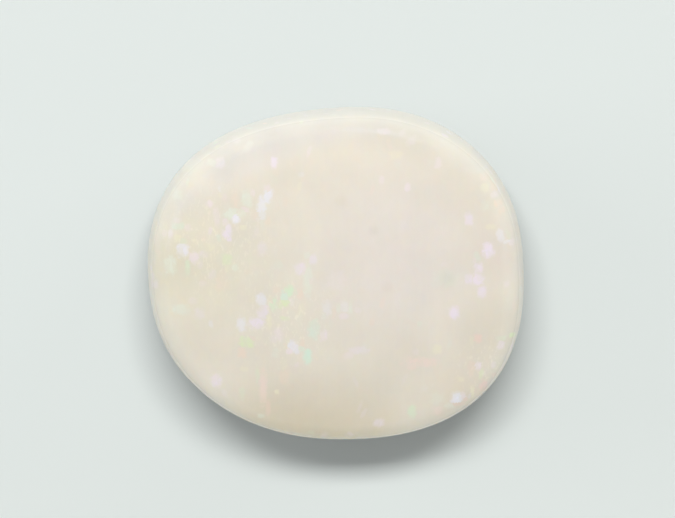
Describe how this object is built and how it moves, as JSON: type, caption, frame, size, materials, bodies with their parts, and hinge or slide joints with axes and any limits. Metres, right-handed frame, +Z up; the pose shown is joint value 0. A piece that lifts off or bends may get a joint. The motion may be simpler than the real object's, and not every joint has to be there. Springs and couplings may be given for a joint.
{
  "type": "polished white opal cabochon",
  "caption": "Cushion-oval polished opal with a low dome, a rounded shoulder, a slightly bellied side wall and a flat back to rest on.",
  "frame": {"origin": "middle of the flat back, on the surface the stone rests on", "axes": "+Z up out of the dome, +X along the stone's length, +Y across it, towards the upper edge as the stone is shown"},
  "size_m": [0.014, 0.0124, 0.0046],
  "materials": {
    "opal_body": "polished milky white opal with fine pastel play of colour"
  },
  "bodies": {
    "root": {"opal": "opal_body"}
  },
  "joints": []
}
